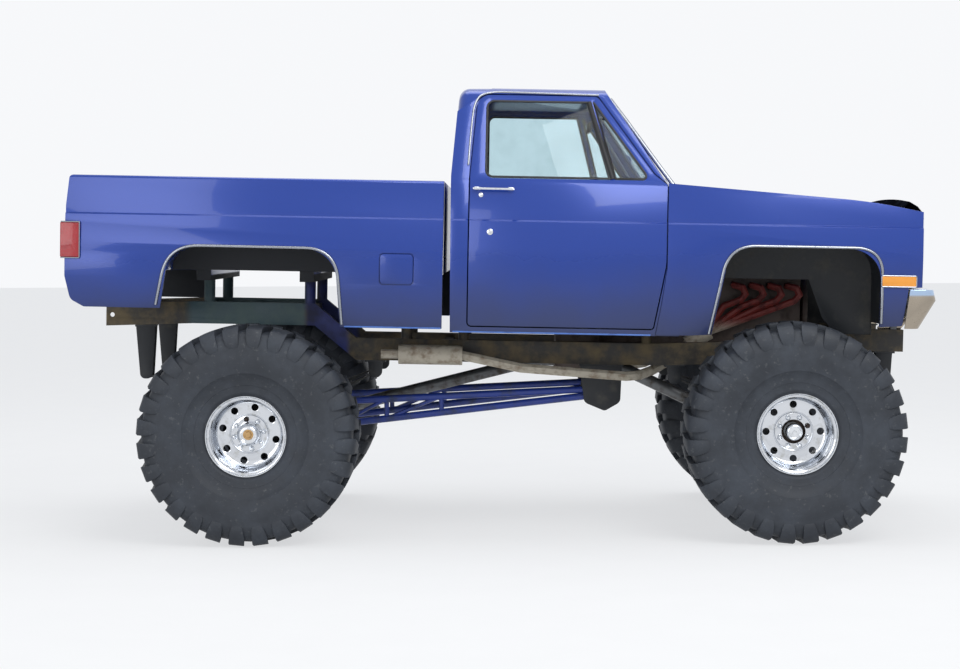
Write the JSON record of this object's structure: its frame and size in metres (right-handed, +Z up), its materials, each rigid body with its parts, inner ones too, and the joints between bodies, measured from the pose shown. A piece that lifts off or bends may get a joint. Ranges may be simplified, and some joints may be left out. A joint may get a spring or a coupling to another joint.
{
  "type": "lifted pickup truck",
  "caption": "Regular-cab pickup truck on a tall suspension lift with very large mud tyres, ladder traction bars, and opening doors, hood and tailgate.",
  "frame": {"origin": "on the ground under the middle of the truck's bounding box", "axes": "+X towards the front bumper, +Y to the truck's left, +Z up"},
  "size_m": [4.8561, 2.403, 2.5425],
  "materials": {
    "body_paint": "gloss",
    "bed_paint": "satin",
    "window_glass": "clear",
    "seat_cloth": "matt",
    "cabin_plastic": "matt",
    "smoked_plastic": "gloss",
    "grille_plastic": "satin",
    "front_lens": "clear",
    "red_lens": "gloss",
    "chrome_steel": "polished",
    "chassis_black": "satin",
    "bare_steel": "satin",
    "ladder_blue": "gloss",
    "bright_trim": "polished",
    "rubber_trim": "matt",
    "amber_lens": "gloss",
    "damper_white": "gloss",
    "engine_iron": "rough",
    "radiator_core": "matt",
    "exhaust_steel": "satin",
    "polished_rim": "polished",
    "tyre_rubber": "matt"
  },
  "bodies": {
    "truck": {"cab_shell": "body_paint", "cab_glass": "window_glass", "fender_left": "body_paint", "fender_right": "body_paint", "bed_side_left": "body_paint", "bed_side_right": "body_paint", "bed_floor": "bed_paint", "bench_seat": "seat_cloth", "dashboard": "cabin_plastic", "grille": "grille_plastic", "radiator": "radiator_core", "front_lamps": "front_lens", "tail_lamps": "red_lens", "front_bumper": "chrome_steel", "frame_rail_left": "chassis_black", "frame_rail_right": "chassis_black", "crossmembers": "chassis_black", "lift_brackets": "chassis_black", "front_axle": "chassis_black", "rear_axle": "chassis_black", "leaf_springs": "chassis_black", "ladder_bars": "ladder_blue", "driveshafts": "bare_steel", "shock_absorbers": "damper_white", "powertrain": "engine_iron", "exhaust": "exhaust_steel"},
    "door_left": {"door_left": "body_paint", "door_glass_left": "window_glass"},
    "door_right": {"door_right": "body_paint", "door_glass_right": "window_glass"},
    "hood": {"hood": "body_paint", "bug_deflector": "smoked_plastic"},
    "tailgate": {"tailgate": "body_paint"},
    "fuel_door": {"fuel_door": "body_paint"},
    "steer_left": {"knuckle_left": "chassis_black"},
    "steer_right": {"knuckle_right": "chassis_black"},
    "tie_rod": {"tie_rod": "bare_steel"},
    "wheel_front_left": {"rim_front_left": "polished_rim", "tyre_front_left": "tyre_rubber"},
    "wheel_front_right": {"rim_front_right": "polished_rim", "tyre_front_right": "tyre_rubber"},
    "wheel_rear_left": {"rim_rear_left": "polished_rim", "tyre_rear_left": "tyre_rubber"},
    "wheel_rear_right": {"rim_rear_right": "polished_rim", "tyre_rear_right": "tyre_rubber"}
  },
  "joints": [
    {"name": "door_left_hinge", "type": "hinge", "parent": "truck", "child": "door_left", "pos_m": [0.88637, 1.012, 1.47904], "axis": [-0.0237, 0, -0.9997], "range_deg": [0, 65]},
    {"name": "door_right_hinge", "type": "hinge", "parent": "truck", "child": "door_right", "pos_m": [0.88637, -1.012, 1.47904], "axis": [0.0237, 0, 0.9997], "range_deg": [0, 65]},
    {"name": "hood_hinge", "type": "hinge", "parent": "truck", "child": "hood", "pos_m": [1.13065, 0, 1.97238], "axis": [0, -1, 0], "range_deg": [0, 55]},
    {"name": "tailgate_hinge", "type": "hinge", "parent": "truck", "child": "tailgate", "pos_m": [-2.39134, 0, 1.50884], "axis": [0, -1, 0], "range_deg": [0, 90]},
    {"name": "fuel_door_hinge", "type": "hinge", "parent": "truck", "child": "fuel_door", "pos_m": [-0.49702, -1.012, 1.49988], "axis": [0.0237, 0, 0.9997], "range_deg": [0, 80]},
    {"name": "steer_left", "type": "hinge", "parent": "truck", "child": "steer_left", "pos_m": [1.58, 0.78, 0.602], "axis": [0, 0, 1], "range_deg": [-25, 25]},
    {"name": "steer_right", "type": "hinge", "parent": "truck", "child": "steer_right", "pos_m": [1.58, -0.78, 0.602], "axis": [0, 0, 1], "range_deg": [-25, 25]},
    {"name": "tie_rod_pivot", "type": "hinge", "parent": "steer_left", "child": "tie_rod", "pos_m": [1.72, 0.78, 0.602], "axis": [0, 0, 1], "range_deg": [-25, 25]},
    {"name": "wheel_front_left_spin", "type": "hinge", "parent": "steer_left", "child": "wheel_front_left", "pos_m": [1.58, 0.935, 0.602], "axis": [0, 1, 0], "continuous": true},
    {"name": "wheel_front_right_spin", "type": "hinge", "parent": "steer_right", "child": "wheel_front_right", "pos_m": [1.58, -0.935, 0.602], "axis": [0, 1, 0], "continuous": true},
    {"name": "wheel_rear_left_spin", "type": "hinge", "parent": "truck", "child": "wheel_rear_left", "pos_m": [-1.405, 0.935, 0.602], "axis": [0, 1, 0], "continuous": true},
    {"name": "wheel_rear_right_spin", "type": "hinge", "parent": "truck", "child": "wheel_rear_right", "pos_m": [-1.405, -0.935, 0.602], "axis": [0, 1, 0], "continuous": true}
  ],
  "couplings": [
    {"joint": "steer_right", "follows": "steer_left", "ratio": 1},
    {"joint": "tie_rod_pivot", "follows": "steer_left", "ratio": -1}
  ]
}
